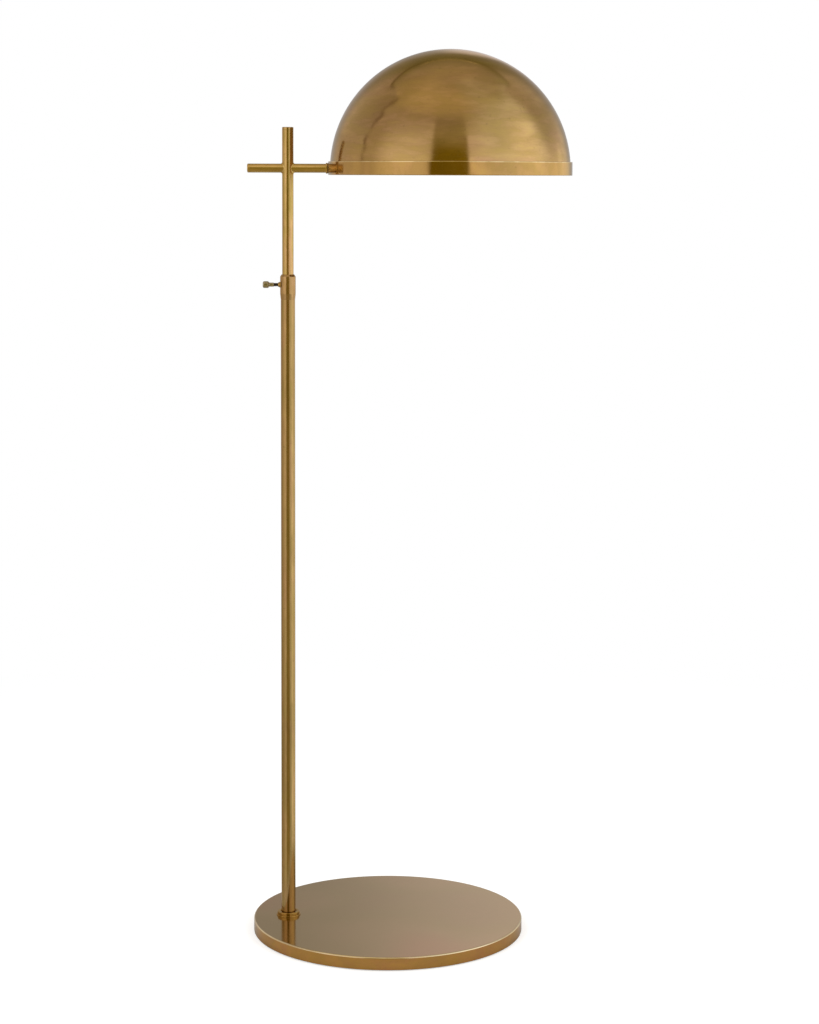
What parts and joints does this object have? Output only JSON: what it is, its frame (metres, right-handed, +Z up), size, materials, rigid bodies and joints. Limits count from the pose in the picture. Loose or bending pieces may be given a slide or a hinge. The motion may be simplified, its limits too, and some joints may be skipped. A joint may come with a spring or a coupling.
{
  "type": "bridge floor lamp",
  "caption": "Floor lamp: weighted round base, off-centre sliding and turning stem, crossed arm, and a tilting hemispherical brass shade over a horizontal bulb.",
  "frame": {"origin": "centre of the base's underside, on the floor", "axes": "+X from the post towards the shade, +Y to the back where the cord leaves, +Z up"},
  "size_m": [0.3622, 0.3065, 0.9967],
  "materials": {
    "shade_brass": "burnished antique brass, fine spinning lines, mottled patina",
    "band_brass": "burnished antique brass, bright edges",
    "stem_brass": "burnished antique brass, lengthwise brushing",
    "post_brass": "browner antique brass, lengthwise brushing",
    "fitting_brass": "antique brass, turned",
    "base_brass": "brown antique brass, mottled patina",
    "cast_iron": "rough cast, dark",
    "felt": "dense felt",
    "zinc_steel": "zinc plated",
    "spring_steel": "blued spring steel",
    "nylon": "natural nylon",
    "rubber": "black rubber",
    "fibre": "dark vulcanised fibre",
    "dark_steel": "dark bronze lacquer on steel",
    "card": "pressed insulating card",
    "porcelain": "white glaze",
    "aluminium": "rolled thread, satin",
    "contact_brass": "bright strip brass",
    "black_plastic": "moulded phenolic",
    "opal_glass": "opal, softly glossy"
  },
  "bodies": {
    "base": {"felt_pad": "felt", "weight_plate": "cast_iron", "base_cover": "base_brass", "cord_gland": "black_plastic", "tie_rod": "zinc_steel", "tie_washer": "zinc_steel", "tie_nut": "zinc_steel", "foot_plug": "fitting_brass", "foot_flange": "fitting_brass", "foot_collar": "fitting_brass", "post_tube": "post_brass", "top_sleeve": "post_brass", "liner": "nylon", "screw_boss": "fitting_brass"},
    "glide": {"glide_bush": "nylon"},
    "stem": {"stem_tube": "stem_brass", "stem_cap": "stem_brass", "stop_collar": "fitting_brass", "glide_clip": "spring_steel", "stem_grommet": "rubber", "crossbar": "stem_brass", "crossbar_cap": "stem_brass", "arm_flange": "fitting_brass", "friction_washer": "fibre", "arm_spindle": "zinc_steel", "spring_washer": "spring_steel", "pivot_nut": "zinc_steel"},
    "shade": {"shade_dome": "shade_brass", "rim_band": "band_brass", "saddle_washer": "fitting_brass", "holder_bracket": "dark_steel", "holder_nipple": "zinc_steel", "holder_nut": "zinc_steel", "holder_cap": "fitting_brass", "holder_shell": "fitting_brass", "holder_lining": "card", "holder_core": "porcelain", "screw_shell": "aluminium", "centre_contact": "contact_brass", "bulb_tip": "black_plastic", "bulb_cap": "aluminium", "bulb_glass": "opal_glass"},
    "pad": {"screw_pad": "nylon"},
    "thumb_screw": {"lock_screw": "fitting_brass", "lock_knob": "fitting_brass"},
    "key": {"switch_key": "black_plastic"}
  },
  "joints": [
    {"name": "height_slide", "type": "slide", "parent": "base", "child": "glide", "axis": [0, 0, 1], "range_m": [-0.11, 0.2295]},
    {"name": "stem_swivel", "type": "hinge", "parent": "glide", "child": "stem", "pos_m": [-0.1135, 0, 0.8644], "axis": [0, 0, 1], "range_deg": [-170, 170]},
    {"name": "shade_tilt", "type": "hinge", "parent": "stem", "child": "shade", "pos_m": [-0.0685, 0, 0.8644], "axis": [1, 0, 0], "range_deg": [-75, 75]},
    {"name": "pad_slide", "type": "slide", "parent": "base", "child": "pad", "axis": [-1, 0, 0], "range_m": [0, 0.0014]},
    {"name": "thumb_screw_turn", "type": "hinge", "parent": "pad", "child": "thumb_screw", "pos_m": [-0.128, 0, 0.7345], "axis": [-1, 0, 0], "range_deg": [0, 720]},
    {"name": "key_turn", "type": "hinge", "parent": "shade", "child": "key", "pos_m": [-0.0197, 0, 0.88], "axis": [0, 0, -1], "continuous": true}
  ],
  "couplings": [
    {"joint": "thumb_screw_turn", "follows": "pad_slide", "rad_per_m": 8975.9}
  ]
}
